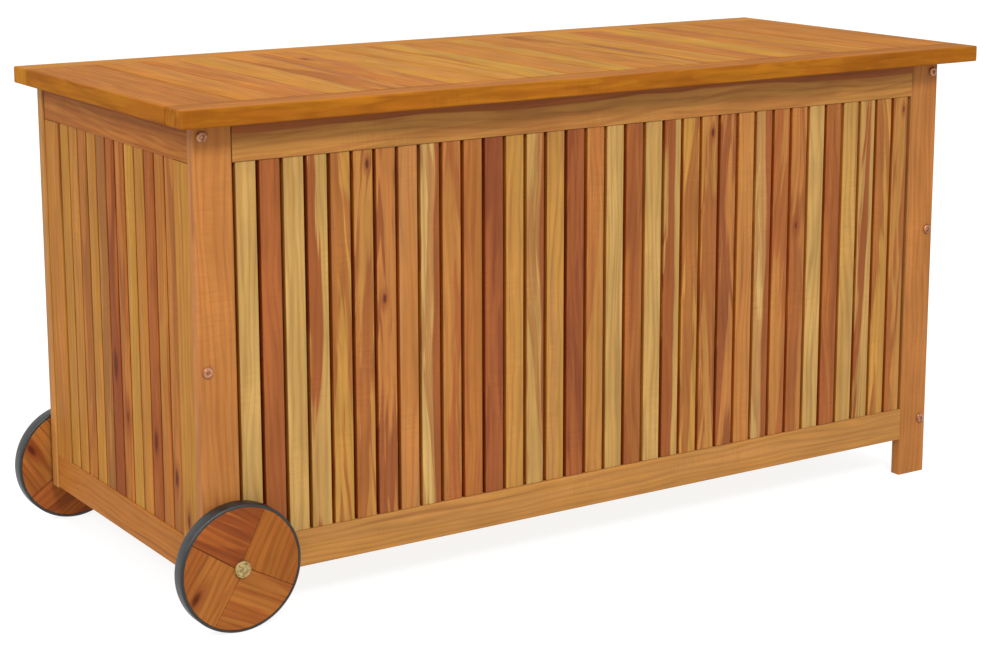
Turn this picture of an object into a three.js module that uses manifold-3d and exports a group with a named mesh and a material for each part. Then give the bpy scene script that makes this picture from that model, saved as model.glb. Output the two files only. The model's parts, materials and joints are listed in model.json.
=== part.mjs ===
// A slatted hardwood deck storage box on two legs and two wheels, with a hinged lid.
// Millimetres, +Z up, +X towards the legs, wheels at -X, front at -Y. The origin is the
// bottom centre of the overall box. It is a flat-pack build: the front and back panels
// are bolted to the end panels, the wheels turn on bolts through the two short posts.
import * as THREE from "three";
import { mergeVertices } from "three/addons/utils/BufferGeometryUtils.js";
import Module from "manifold-3d";

const wasm = await Module();
wasm.setup();

// ---------- driving dimensions ----------
const GAP = 0.3; // between pieces that touch
const OVERALL_HEIGHT = 580;

const LID_LENGTH = 1130;
const LID_DEPTH = 475;
const LID_THICKNESS = 20;
const LID_SIDE_OVERHANG = 30;
const LID_FRONT_OVERHANG = 40;
const LID_BACK_INSET = 5; // the lid's back edge stops short of the back panel, over the hinge knuckles
const LID_RAIL_WIDTH = 42;
const LID_END_BOARD_WIDTH = 88;
const LID_BOARD_PITCH = 53;
const LID_SEAM_WIDTH = 0.6;
const LID_SEAM_DEPTH = 1;
const LID_TONGUE_THICKNESS = 6;
const LID_TONGUE_LENGTH = 8;
const LID_TONGUE_END = 12; // the grooves and tongues stop short of the lid's ends, so they don't show

const PANEL_THICKNESS = 16; // posts, rails and stiles
const POST_WIDTH = 45;
const TOP_RAIL_HEIGHT = 45;
const BOTTOM_RAIL_HEIGHT = 42;
const GROUND_CLEARANCE = 50;
const END_PANEL_INSET = 2;
const STILE_WIDTH = 40;
const POST_EASE = 1.5;
const TENON_LENGTH = 20;
const TENON_THICKNESS = 6;
const TENON_SHOULDER = 6;

const SLAT_WIDTH = 24.5;
const SLAT_THICKNESS = 10;
const SLAT_RECESS = 2; // behind the rails' outer face
const FRONT_SLAT_GAP = 4.2; // nominal: whole slats share the opening evenly
const END_SLAT_GAP = 2.6;
const TONGUE_THICKNESS = 5;
const TONGUE_LENGTH = 8;
const TONGUE_SET_BACK = 2; // the joining strip starts this far inside the rail's groove

const FLOOR_BOARD_COUNT = 4;
const FLOOR_BOARD_THICKNESS = 9;
const FLOOR_BOARD_GAP = 8;
const FLOOR_EDGE_GAP = 2;
const FLOOR_SET_DOWN = 1; // below the top of the bottom rails
const FLOOR_BEARER_WIDTH = 30;
const FLOOR_BEARER_HEIGHT = 20;

const BOLT_RADIUS = 3;
const BOLT_HEAD_RADIUS = 6.3;
const BOLT_HEAD_HEIGHT = 2.4;
const BOLT_SOCKET_RADIUS = 2.3;
const BOLT_SOCKET_DEPTH = 1.5;
const BOLT_REACH = 30; // into the end panel
const BOLT_END_ROOM = 2;
const BOLT_TOP_DROP = 14.7; // below the top of the posts
const BOLT_MIDDLE_HEIGHT_LEFT = 290;
const BOLT_MIDDLE_HEIGHT_RIGHT = 335;
const BOLT_BOTTOM_RISE = 25; // above the underside of the bottom rails

const WHEEL_RADIUS = 72.5;
const WHEEL_THICKNESS = 18;
const TYRE_THICKNESS = 3;
const TYRE_EASE = 1.2;
const AXLE_FROM_END = 32.4;
const AXLE_RADIUS = 4;
const AXLE_HEAD_RADIUS = 9.5;
const AXLE_HEAD_HEIGHT = 3.2;
const AXLE_HEAD_RIM = 1.6;
const AXLE_END_LENGTH = 2; // beyond the nut
const SPACER_RADIUS = 11;
const SPACER_LENGTH = 7;
const NUT_ACROSS_FLATS = 13;
const NUT_HEIGHT = 6.5;

const HINGE_SPACING = 700;
const HINGE_LENGTH = 60;
const HINGE_MIDDLE_KNUCKLE = 20;
const HINGE_LEAF_THICKNESS = 1.5;
const HINGE_FIXED_LEAF_SEAT = 14; // depth of the leaf on the top edge of the back rail
const HINGE_LID_LEAF_SEAT = 20; // depth of the leaf under the lid
const HINGE_KNUCKLE_RADIUS = 3.5;
const HINGE_PIN_RADIUS = 1.5;
const HINGE_PIN_OVERRUN = 1.5;
const HINGE_SIDE_ROOM = 0.5; // between a knuckle and the other leaf

const ROUND = 64; // sides of a large round
const SMALL_ROUND = 24; // sides of a bolt or a bore

// ---------- derived places ----------
const bodyLength = LID_LENGTH - 2 * LID_SIDE_OVERHANG;
const bodyDepth = LID_DEPTH - LID_FRONT_OVERHANG + LID_BACK_INSET;
const lidBottom = OVERALL_HEIGHT - LID_THICKNESS;
const bodyTop = lidBottom - GAP;
const topRailBottom = bodyTop - TOP_RAIL_HEIGHT;
const bottomRailBottom = GROUND_CLEARANCE;
const bottomRailTop = bottomRailBottom + BOTTOM_RAIL_HEIGHT;

// Distances out from the face of the front or back panel, along the axle.
const spacerIn = GAP;
const spacerOut = spacerIn + SPACER_LENGTH;
const wheelIn = spacerOut + GAP;
const wheelOut = wheelIn + WHEEL_THICKNESS;
const axleHeadIn = wheelOut + GAP;
const axleHeadOut = axleHeadIn + AXLE_HEAD_HEIGHT;
const nutOuter = -PANEL_THICKNESS - GAP;
const nutInner = nutOuter - NUT_HEIGHT;
const axleEnd = nutInner - AXLE_END_LENGTH;
const axleHeight = WHEEL_RADIUS;
const boreRadius = AXLE_RADIUS + GAP;

// The overall box is centred on the origin in X and Y.
const leftReach = Math.max(LID_LENGTH / 2, bodyLength / 2 - AXLE_FROM_END + WHEEL_RADIUS);
const lidCentreX = (leftReach - LID_LENGTH / 2) / 2;
const frontReach = Math.max(LID_FRONT_OVERHANG, axleHeadOut);
const frontFace = -(frontReach + bodyDepth + axleHeadOut) / 2 + frontReach;
const backFace = frontFace + bodyDepth;
const bodyLeft = lidCentreX - bodyLength / 2;
const bodyRight = lidCentreX + bodyLength / 2;
const lidLeft = lidCentreX - LID_LENGTH / 2;
const lidRight = lidCentreX + LID_LENGTH / 2;
const lidFront = frontFace - LID_FRONT_OVERHANG;
const lidBack = lidFront + LID_DEPTH;
const axleX = bodyLeft + AXLE_FROM_END;
const postInnerLeft = bodyLeft + POST_WIDTH;
const postInnerRight = bodyRight - POST_WIDTH;
const boltFromEnd = END_PANEL_INSET + PANEL_THICKNESS / 2;
const boltTopHeight = bodyTop - BOLT_TOP_DROP;
const boltBottomHeight = bottomRailBottom + BOLT_BOTTOM_RISE;

// ---------- finishes ----------
const finish = (color, roughness, metalness) => new THREE.MeshStandardMaterial({ color, roughness, metalness });
const frameWood = finish(0xbb7d41, 0.45, 0);
const slatWood = finish(0xbc8748, 0.48, 0);
const lidWood = finish(0xc47c3c, 0.42, 0);
const wheelWood = finish(0xb06434, 0.42, 0);
const floorWood = finish(0xc09a60, 0.7, 0);
const rubber = finish(0x2b2d2e, 0.6, 0);
const brass = finish(0x9c8a58, 0.38, 0.9);
const zincSteel = finish(0xa9a9a4, 0.4, 0.9);

// ---------- solids ----------
// A closed geometry as a manifold solid.
function solidFrom(geometry) {
  const bare = new THREE.BufferGeometry();
  bare.setAttribute("position", geometry.getAttribute("position"));
  bare.setIndex(geometry.getIndex());
  const merged = mergeVertices(bare, 1e-4);
  const index = merged.getIndex().array;
  const corners = [];
  for (let i = 0; i < index.length; i += 3) {
    const [a, b, c] = [index[i], index[i + 1], index[i + 2]];
    if (a !== b && b !== c && c !== a) corners.push(a, b, c);
  }
  const vertProperties = merged.getAttribute("position").array;
  return new wasm.Manifold(new wasm.Mesh({ numProp: 3, vertProperties, triVerts: new Uint32Array(corners) }));
}

function geometryOf(solid) {
  const { numProp, vertProperties, triVerts } = solid.getMesh();
  const positions = new Float32Array((vertProperties.length / numProp) * 3);
  for (let i = 0; i < positions.length / 3; i++) {
    positions.set(vertProperties.subarray(i * numProp, i * numProp + 3), i * 3);
  }
  const geometry = new THREE.BufferGeometry();
  geometry.setAttribute("position", new THREE.BufferAttribute(positions, 3));
  geometry.setIndex(new THREE.BufferAttribute(triVerts, 1));
  return mergeVertices(geometry).toNonIndexed();
}

// A box between two opposite corners, given in any order.
function block(cornerA, cornerB) {
  const a = new THREE.Vector3(...cornerA);
  const b = new THREE.Vector3(...cornerB);
  const size = b.clone().sub(a);
  const middle = a.clone().add(b).multiplyScalar(0.5);
  const box = new THREE.BoxGeometry(Math.abs(size.x), Math.abs(size.y), Math.abs(size.z));
  return solidFrom(box.translate(middle.x, middle.y, middle.z));
}

// An upright bar whose four long edges are eased by a small flat.
function easedUpright(cornerA, cornerB, ease) {
  const [x0, x1] = [cornerA[0], cornerB[0]].sort((p, q) => p - q);
  const [y0, y1] = [cornerA[1], cornerB[1]].sort((p, q) => p - q);
  const [z0, z1] = [cornerA[2], cornerB[2]].sort((p, q) => p - q);
  const outline = new THREE.Shape([
    new THREE.Vector2(x0 + ease, y0),
    new THREE.Vector2(x1 - ease, y0),
    new THREE.Vector2(x1, y0 + ease),
    new THREE.Vector2(x1, y1 - ease),
    new THREE.Vector2(x1 - ease, y1),
    new THREE.Vector2(x0 + ease, y1),
    new THREE.Vector2(x0, y1 - ease),
    new THREE.Vector2(x0, y0 + ease),
  ]);
  const bar = new THREE.ExtrudeGeometry(outline, { depth: z1 - z0, bevelEnabled: false });
  return solidFrom(bar.translate(0, 0, z0));
}

// A round rod, or a prism with few sides, along Y between two depths.
function rodY(radius, x, z, fromY, toY, sides = SMALL_ROUND) {
  const rod = new THREE.CylinderGeometry(radius, radius, Math.abs(toY - fromY), sides);
  return solidFrom(rod.translate(x, (fromY + toY) / 2, z));
}

function rodX(radius, y, z, fromX, toX, sides = SMALL_ROUND) {
  const rod = new THREE.CylinderGeometry(radius, radius, Math.abs(toX - fromX), sides);
  return solidFrom(rod.rotateZ(Math.PI / 2).translate((fromX + toX) / 2, y, z));
}

// A turned solid about an axis along Y. Its profile is [radius, distance out] pairs, counted
// out from a panel face towards the given side, and runs from the axis back to the axis.
function turnedY(profile, x, z, face, side, sides) {
  const points = profile.map(([radius, out]) => new THREE.Vector2(radius, out * side));
  if (side < 0) points.reverse();
  const turned = new THREE.LatheGeometry(points, sides);
  return solidFrom(turned.translate(x, face, z));
}

const box = new THREE.Group();

function addPiece(name, solid, material) {
  const piece = new THREE.Mesh(geometryOf(solid), material);
  piece.geometry.computeVertexNormals();
  piece.name = name;
  box.add(piece);
}

const joined = (solids) => solids.reduce((sum, next) => sum.add(next));
const cutFrom = (solid, cutters) => cutters.reduce((rest, cutter) => rest.subtract(cutter), solid);

// ---------- the four sides of the body ----------
// The two long panels: the face they show, the way out, and their name.
const longPanels = [
  { name: "front", face: frontFace, out: -1 },
  { name: "back", face: backFace, out: 1 },
];
// The two end panels: outer face of the body, the way out, and the height of the middle bolts.
const endPanels = [
  { name: "left", end: bodyLeft, out: -1, boltMiddle: BOLT_MIDDLE_HEIGHT_LEFT, footHeight: bottomRailBottom },
  { name: "right", end: bodyRight, out: 1, boltMiddle: BOLT_MIDDLE_HEIGHT_RIGHT, footHeight: 0 },
];
const boltHeights = (end) => [
  ["top", boltTopHeight],
  ["middle", end.boltMiddle],
  ["bottom", boltBottomHeight],
];
const boltX = (end) => end.end - end.out * boltFromEnd;

// The hole for a bolt: through the post, and on into the end panel.
function boltHole(panel, end, height) {
  const inner = panel.face - panel.out * (PANEL_THICKNESS + BOLT_REACH + BOLT_END_ROOM);
  return rodY(BOLT_RADIUS + GAP, boltX(end), height, panel.face + panel.out * GAP, inner);
}

const axleHole = (panel) =>
  rodY(boreRadius, axleX, axleHeight, panel.face + panel.out * GAP, panel.face + panel.out * (nutOuter - GAP));

const tenonDepth = (panel, offset) => panel.face - panel.out * (PANEL_THICKNESS / 2 + offset);

// The tenon on one end of a long rail, or with room added, its mortise in the post.
function tenon(panel, end, railBottom, railTop, room) {
  const shoulder = end.end - end.out * POST_WIDTH;
  const half = TENON_THICKNESS / 2 + room;
  return block(
    [shoulder - end.out * GAP, tenonDepth(panel, half), railBottom + TENON_SHOULDER - room],
    [shoulder + end.out * (TENON_LENGTH + room), tenonDepth(panel, -half), railTop - TENON_SHOULDER + room],
  );
}

const railHeights = {
  top: [topRailBottom, bodyTop],
  bottom: [bottomRailBottom, bottomRailTop],
};

function addPosts() {
  for (const panel of longPanels) {
    for (const end of endPanels) {
      const upright = easedUpright(
        [end.end, panel.face, end.footHeight],
        [end.end - end.out * POST_WIDTH, panel.face - panel.out * PANEL_THICKNESS, bodyTop],
        POST_EASE,
      );
      const mortises = Object.values(railHeights).map(([low, high]) => tenon(panel, end, low, high, GAP));
      const holes = boltHeights(end).map(([, height]) => boltHole(panel, end, height));
      if (end.name === "left") holes.push(axleHole(panel));
      const kind = end.name === "left" ? "post" : "leg";
      addPiece(`${panel.name}_${end.name}_${kind}`, cutFrom(upright, [...mortises, ...holes]), frameWood);
    }
  }
}

// Where a panel's slats and their tongues lie, counted in from the panel's outer face.
const slatMiddle = SLAT_RECESS + SLAT_THICKNESS / 2;
const grooveHalf = TONGUE_THICKNESS / 2 + GAP;

// Slat places across an opening: whole slats with equal gaps.
function slatStarts(from, to, nominalGap) {
  const width = to - from;
  const count = Math.round((width - nominalGap) / (SLAT_WIDTH + nominalGap));
  const gap = (width - count * SLAT_WIDTH) / (count + 1);
  return Array.from({ length: count }, (_, i) => from + gap + i * (SLAT_WIDTH + gap));
}

// One row of slats, held together by the tongue strips that lie in the rails' grooves.
// place(along, inward, height) gives a point of the panel.
function slatRow(starts, place) {
  const bottom = bottomRailTop + GAP;
  const top = topRailBottom - GAP;
  const outer = SLAT_RECESS;
  const inner = SLAT_RECESS + SLAT_THICKNESS;
  const thin = TONGUE_THICKNESS / 2;
  const last = starts[starts.length - 1] + SLAT_WIDTH;
  const parts = starts.flatMap((start) => [
    block(place(start, outer, bottom), place(start + SLAT_WIDTH, inner, top)),
    block(
      place(start, slatMiddle - thin, bottomRailTop - TONGUE_LENGTH),
      place(start + SLAT_WIDTH, slatMiddle + thin, topRailBottom + TONGUE_LENGTH),
    ),
  ]);
  for (const [near, far] of [
    [bottomRailTop - TONGUE_SET_BACK, bottomRailTop - TONGUE_LENGTH],
    [topRailBottom + TONGUE_SET_BACK, topRailBottom + TONGUE_LENGTH],
  ]) {
    parts.push(block(place(starts[0], slatMiddle - thin, near), place(last, slatMiddle + thin, far)));
  }
  return joined(parts);
}

function addLongPanels() {
  for (const panel of longPanels) {
    const place = (x, inward, z) => [x, panel.face - panel.out * inward, z];
    for (const [level, [low, high]] of Object.entries(railHeights)) {
      const bar = block(place(postInnerLeft + GAP, 0, low), place(postInnerRight - GAP, PANEL_THICKNESS, high));
      const tenons = endPanels.map((end) => tenon(panel, end, low, high, 0));
      const edge = level === "top" ? low : high;
      const depth = level === "top" ? TONGUE_LENGTH + GAP : -TONGUE_LENGTH - GAP;
      const groove = block(
        place(postInnerLeft + GAP, slatMiddle - grooveHalf, edge - depth),
        place(postInnerRight - GAP, slatMiddle + grooveHalf, edge + depth),
      );
      const cuts = [groove];
      if (level === "bottom") cuts.push(axleHole(panel));
      if (level === "top" && panel.name === "back") cuts.push(...hinges.map(hingeRailSeat));
      addPiece(`${panel.name}_${level}_rail`, cutFrom(joined([bar, ...tenons]), cuts), frameWood);
    }
    addPiece(`${panel.name}_slats`, slatRow(slatStarts(postInnerLeft, postInnerRight, FRONT_SLAT_GAP), place), slatWood);
  }
}

function addEndPanels() {
  const from = frontFace + PANEL_THICKNESS + GAP;
  const to = backFace - PANEL_THICKNESS - GAP;
  for (const end of endPanels) {
    const outerFace = end.end - end.out * END_PANEL_INSET;
    const place = (y, inward, z) => [outerFace - end.out * inward, y, z];
    const holes = longPanels.flatMap((panel) => boltHeights(end).map(([, height]) => boltHole(panel, end, height)));
    for (const [level, [low, high]] of Object.entries(railHeights)) {
      const bar = block(place(from, 0, low), place(to, PANEL_THICKNESS, high));
      const edge = level === "top" ? low : high;
      const depth = TONGUE_LENGTH + GAP;
      const groove = block(
        place(from - GAP, slatMiddle - grooveHalf, edge - depth),
        place(to + GAP, slatMiddle + grooveHalf, edge + depth),
      );
      addPiece(`${end.name}_${level}_rail`, cutFrom(bar, [groove, ...holes]), frameWood);
    }
    const stiles = [
      ["front", from, from + STILE_WIDTH],
      ["back", to - STILE_WIDTH, to],
    ];
    const thin = TONGUE_THICKNESS / 2;
    for (const [name, start, stop] of stiles) {
      const upright = joined([
        block(place(start, 0, bottomRailTop + GAP), place(stop, PANEL_THICKNESS, topRailBottom - GAP)),
        block(
          place(start, slatMiddle - thin, bottomRailTop - TONGUE_LENGTH),
          place(stop, slatMiddle + thin, topRailBottom + TONGUE_LENGTH),
        ),
      ]);
      addPiece(`${end.name}_${name}_stile`, cutFrom(upright, holes), frameWood);
    }
    const starts = slatStarts(from + STILE_WIDTH, to - STILE_WIDTH, END_SLAT_GAP);
    addPiece(`${end.name}_slats`, slatRow(starts, place), slatWood);
  }
}

function addPanelBolts() {
  for (const panel of longPanels) {
    for (const end of endPanels) {
      for (const [level, height] of boltHeights(end)) {
        const shankEnd = -PANEL_THICKNESS - BOLT_REACH;
        const profile = [
          [0, shankEnd],
          [BOLT_RADIUS, shankEnd],
          [BOLT_RADIUS, GAP],
          [BOLT_HEAD_RADIUS, GAP],
          [BOLT_HEAD_RADIUS, GAP + BOLT_HEAD_HEIGHT * 0.45],
          [BOLT_HEAD_RADIUS * 0.8, GAP + BOLT_HEAD_HEIGHT],
          [0, GAP + BOLT_HEAD_HEIGHT],
        ];
        const turned = turnedY(profile, boltX(end), height, panel.face, panel.out, SMALL_ROUND);
        const top = panel.face + panel.out * (GAP + BOLT_HEAD_HEIGHT);
        const socket = rodY(
          BOLT_SOCKET_RADIUS,
          boltX(end),
          height,
          top + panel.out * GAP,
          top - panel.out * BOLT_SOCKET_DEPTH,
          6,
        );
        addPiece(`${panel.name}_${end.name}_${level}_bolt`, turned.subtract(socket), brass);
      }
    }
  }
}

// ---------- the floor ----------
function addFloor() {
  const boardTop = bottomRailTop - FLOOR_SET_DOWN;
  const boardBottom = boardTop - FLOOR_BOARD_THICKNESS;
  const bearerTop = boardBottom - GAP;
  const innerFront = frontFace + PANEL_THICKNESS;
  const innerBack = backFace - PANEL_THICKNESS;
  const panelReach = END_PANEL_INSET + PANEL_THICKNESS + FLOOR_EDGE_GAP;
  const nutCorner = NUT_ACROSS_FLATS / Math.sqrt(3);

  // The first bearer stands clear of the axle nuts, and the last one mirrors it.
  const firstBearer = axleX + nutCorner + FLOOR_BEARER_WIDTH / 2;
  const lastBearer = 2 * lidCentreX - firstBearer - FLOOR_BEARER_WIDTH;
  const bearers = [
    ["left", firstBearer],
    ["middle", lidCentreX - FLOOR_BEARER_WIDTH / 2],
    ["right", lastBearer],
  ];
  for (const [name, start] of bearers) {
    const bearer = block(
      [start, innerFront + GAP, bearerTop - FLOOR_BEARER_HEIGHT],
      [start + FLOOR_BEARER_WIDTH, innerBack - GAP, bearerTop],
    );
    addPiece(`floor_bearer_${name}`, bearer, floorWood);
  }

  // The boards leave room for the axle nuts along both long panels.
  const edgeRoom = NUT_HEIGHT + AXLE_END_LENGTH + 2 * GAP + FLOOR_EDGE_GAP;
  const from = innerFront + edgeRoom;
  const to = innerBack - edgeRoom;
  const boardWidth = (to - from - (FLOOR_BOARD_COUNT - 1) * FLOOR_BOARD_GAP) / FLOOR_BOARD_COUNT;
  for (let i = 0; i < FLOOR_BOARD_COUNT; i++) {
    const start = from + i * (boardWidth + FLOOR_BOARD_GAP);
    const board = block(
      [bodyLeft + panelReach, start, boardBottom],
      [bodyRight - panelReach, start + boardWidth, boardTop],
    );
    addPiece(`floor_board_${i + 1}`, board, floorWood);
  }
}

// ---------- the wheels ----------
// A flat ring about the axle, between two distances out from a panel face.
function ring(panel, outerRadius, innerRadius, from, to, sides) {
  const [low, high] = [panel.face + panel.out * from, panel.face + panel.out * to];
  const solid = rodY(outerRadius, axleX, axleHeight, low, high, sides);
  const hole = rodY(innerRadius, axleX, axleHeight, low - panel.out * GAP, high + panel.out * GAP, SMALL_ROUND);
  return solid.subtract(hole);
}

// The tyre: a band with rounded shoulders. Its section closes on itself.
function tyreBand(panel) {
  const outer = WHEEL_RADIUS;
  const inner = WHEEL_RADIUS - TYRE_THICKNESS;
  const section = new THREE.Path();
  section.moveTo(inner, wheelIn);
  section.lineTo(outer - TYRE_EASE, wheelIn);
  section.absarc(outer - TYRE_EASE, wheelIn + TYRE_EASE, TYRE_EASE, -Math.PI / 2, 0);
  section.absarc(outer - TYRE_EASE, wheelOut - TYRE_EASE, TYRE_EASE, 0, Math.PI / 2);
  section.lineTo(inner, wheelOut);
  section.lineTo(inner, wheelIn);
  const points = section.getPoints(3).map((p) => new THREE.Vector2(p.x, p.y * panel.out));
  if (panel.out < 0) points.reverse();
  const turned = new THREE.LatheGeometry(points, ROUND);
  return solidFrom(turned.translate(axleX, panel.face, axleHeight));
}

function addWheels() {
  const discRadius = WHEEL_RADIUS - TYRE_THICKNESS - GAP;
  const nutRadius = NUT_ACROSS_FLATS / Math.sqrt(3);
  for (const panel of longPanels) {
    addPiece(`${panel.name}_wheel_disc`, ring(panel, discRadius, boreRadius, wheelIn, wheelOut, ROUND), wheelWood);
    addPiece(`${panel.name}_wheel_tyre`, tyreBand(panel), rubber);
    const spacer = ring(panel, SPACER_RADIUS, boreRadius, spacerIn, spacerOut, SMALL_ROUND);
    addPiece(`${panel.name}_axle_spacer`, spacer, zincSteel);
    const head = [
      [0, axleEnd],
      [AXLE_RADIUS, axleEnd],
      [AXLE_RADIUS, axleHeadIn],
      [AXLE_HEAD_RADIUS, axleHeadIn],
      [AXLE_HEAD_RADIUS, axleHeadOut - 0.8],
      [AXLE_HEAD_RADIUS - 0.6, axleHeadOut],
      [AXLE_HEAD_RADIUS - AXLE_HEAD_RIM, axleHeadOut],
      [AXLE_HEAD_RADIUS - AXLE_HEAD_RIM - 0.4, axleHeadOut - 0.8],
      [0, axleHeadOut - 0.5],
    ];
    const axle = turnedY(head, axleX, axleHeight, panel.face, panel.out, 2 * SMALL_ROUND);
    addPiece(`${panel.name}_axle_bolt`, axle, brass);
    const nutSpan = [panel.face + panel.out * nutOuter, panel.face + panel.out * nutInner];
    const nut = rodY(nutRadius, axleX, axleHeight, ...nutSpan, 6);
    const thread = rodY(boreRadius, axleX, axleHeight, nutSpan[0] + panel.out, nutSpan[1] - panel.out);
    addPiece(`${panel.name}_axle_nut`, nut.subtract(thread), zincSteel);
  }
}

// ---------- the lid ----------
function addLid() {
  const railInnerFront = lidFront + LID_RAIL_WIDTH;
  const railInnerBack = lidBack - LID_RAIL_WIDTH;
  const middle = (lidBottom + OVERALL_HEIGHT) / 2;
  const half = LID_TONGUE_THICKNESS / 2;

  const rails = [
    ["front", lidFront, railInnerFront, railInnerFront - LID_TONGUE_LENGTH - GAP, []],
    ["back", lidBack, railInnerBack, railInnerBack + LID_TONGUE_LENGTH + GAP, hinges.map(hingeLidSeat)],
  ];
  for (const [name, outer, inner, grooveEnd, seats] of rails) {
    const bar = block([lidLeft, outer, lidBottom], [lidRight, inner, OVERALL_HEIGHT]);
    const groove = block(
      [lidLeft + LID_TONGUE_END - GAP, inner * 2 - grooveEnd, middle - half - GAP],
      [lidRight - LID_TONGUE_END + GAP, grooveEnd, middle + half + GAP],
    );
    addPiece(`lid_${name}_rail`, cutFrom(bar, [groove, ...seats]), lidWood);
  }

  // A stretch of the lid between the rails, with a tongue along both long edges.
  const field = (from, to) =>
    joined([
      block([from, railInnerFront + GAP, lidBottom], [to, railInnerBack - GAP, OVERALL_HEIGHT]),
      block(
        [Math.max(from, lidLeft + LID_TONGUE_END), railInnerFront - LID_TONGUE_LENGTH, middle - half],
        [Math.min(to, lidRight - LID_TONGUE_END), railInnerBack + LID_TONGUE_LENGTH, middle + half],
      ),
    ]);
  const fieldLeft = lidLeft + LID_END_BOARD_WIDTH;
  const fieldRight = lidRight - LID_END_BOARD_WIDTH;
  addPiece("lid_left_end_board", field(lidLeft, fieldLeft), lidWood);
  addPiece("lid_right_end_board", field(fieldRight, lidRight), lidWood);

  // The cross boards are glued edge to edge; their seams show as fine grooves.
  const from = fieldLeft + GAP;
  const to = fieldRight - GAP;
  const count = Math.round((to - from) / LID_BOARD_PITCH);
  const pitch = (to - from) / count;
  const seams = [];
  for (let i = 1; i < count; i++) {
    const [low, high] = [from + i * pitch - LID_SEAM_WIDTH / 2, from + i * pitch + LID_SEAM_WIDTH / 2];
    for (const [face, way] of [
      [lidBottom, 1],
      [OVERALL_HEIGHT, -1],
    ]) {
      const start = [low, railInnerFront, face - way * GAP];
      seams.push(block(start, [high, railInnerBack, face + way * LID_SEAM_DEPTH]));
    }
  }
  addPiece("lid_boards", cutFrom(field(from, to), seams), lidWood);
}

// ---------- the hinges ----------
const hingeAxisY = backFace + HINGE_KNUCKLE_RADIUS + GAP;
const hingeAxisZ = (bodyTop + lidBottom) / 2;
const hinges = [
  { name: "left", x: lidCentreX - HINGE_SPACING / 2 },
  { name: "right", x: lidCentreX + HINGE_SPACING / 2 },
];
const leafReach = {
  fixed: hingeAxisY - backFace + HINGE_FIXED_LEAF_SEAT,
  lid: hingeAxisY - lidBack + HINGE_LID_LEAF_SEAT,
};
const fixedLeafBottom = hingeAxisZ - GAP / 2 - HINGE_LEAF_THICKNESS;
const lidLeafTop = hingeAxisZ + GAP / 2 + HINGE_LEAF_THICKNESS;

// The shallow seats that the leaves are let into.
function hingeRailSeat(hinge) {
  const half = HINGE_LENGTH / 2 + GAP;
  return block(
    [hinge.x - half, hingeAxisY - leafReach.fixed - GAP, fixedLeafBottom - GAP],
    [hinge.x + half, hingeAxisY, bodyTop + GAP],
  );
}

function hingeLidSeat(hinge) {
  const half = HINGE_LENGTH / 2 + GAP;
  return block(
    [hinge.x - half, hingeAxisY - leafReach.lid - GAP, lidBottom - GAP],
    [hinge.x + half, hingeAxisY, lidLeafTop + GAP],
  );
}

// One leaf: a plate with knuckles on the given stretches of the pin, bored for it.
function hingeLeaf(hinge, reach, low, high, knuckles) {
  const half = HINGE_LENGTH / 2;
  const clear = HINGE_KNUCKLE_RADIUS + HINGE_SIDE_ROOM;
  const plate = block([hinge.x - half, hingeAxisY - reach, low], [hinge.x + half, hingeAxisY - clear, high]);
  const arms = knuckles.flatMap(([from, to]) => [
    block([hinge.x + from, hingeAxisY - clear - 1, low], [hinge.x + to, hingeAxisY, high]),
    rodX(HINGE_KNUCKLE_RADIUS, hingeAxisY, hingeAxisZ, hinge.x + from, hinge.x + to),
  ]);
  const bore = rodX(HINGE_PIN_RADIUS + GAP, hingeAxisY, hingeAxisZ, hinge.x - half - 1, hinge.x + half + 1);
  return joined([plate, ...arms]).subtract(bore);
}

function addHinges() {
  const half = HINGE_LENGTH / 2;
  const middle = HINGE_MIDDLE_KNUCKLE / 2;
  const outerKnuckles = [
    [-half, -middle - GAP / 2],
    [middle + GAP / 2, half],
  ];
  const middleKnuckle = [[-middle + GAP / 2, middle - GAP / 2]];
  for (const hinge of hinges) {
    const fixed = hingeLeaf(hinge, leafReach.fixed, fixedLeafBottom, hingeAxisZ - GAP / 2, outerKnuckles);
    const lid = hingeLeaf(hinge, leafReach.lid, hingeAxisZ + GAP / 2, lidLeafTop, middleKnuckle);
    const pinHalf = half + HINGE_PIN_OVERRUN;
    const pin = rodX(HINGE_PIN_RADIUS, hingeAxisY, hingeAxisZ, hinge.x - pinHalf, hinge.x + pinHalf);
    addPiece(`${hinge.name}_hinge_fixed_leaf`, fixed, brass);
    addPiece(`${hinge.name}_hinge_lid_leaf`, lid, brass);
    addPiece(`${hinge.name}_hinge_pin`, pin, brass);
  }
}

addPosts();
addLongPanels();
addEndPanels();
addPanelBolts();
addFloor();
addWheels();
addLid();
addHinges();

export default box;
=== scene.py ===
"""Looks of the deck storage box: eased and figured hardwood boards, brass bolts, rubber tyres.

Boards carry their tones and their grain direction on the mesh, and one hardwood material reads
them. Slats, lid boards, bolts and screws are set out by node trees on points worked out from the
CAD pieces. Wheels, tyres and axles are turned.
"""

import json
import math
import random

import bmesh
import bpy
from mathutils import Euler, Matrix, Vector


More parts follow.
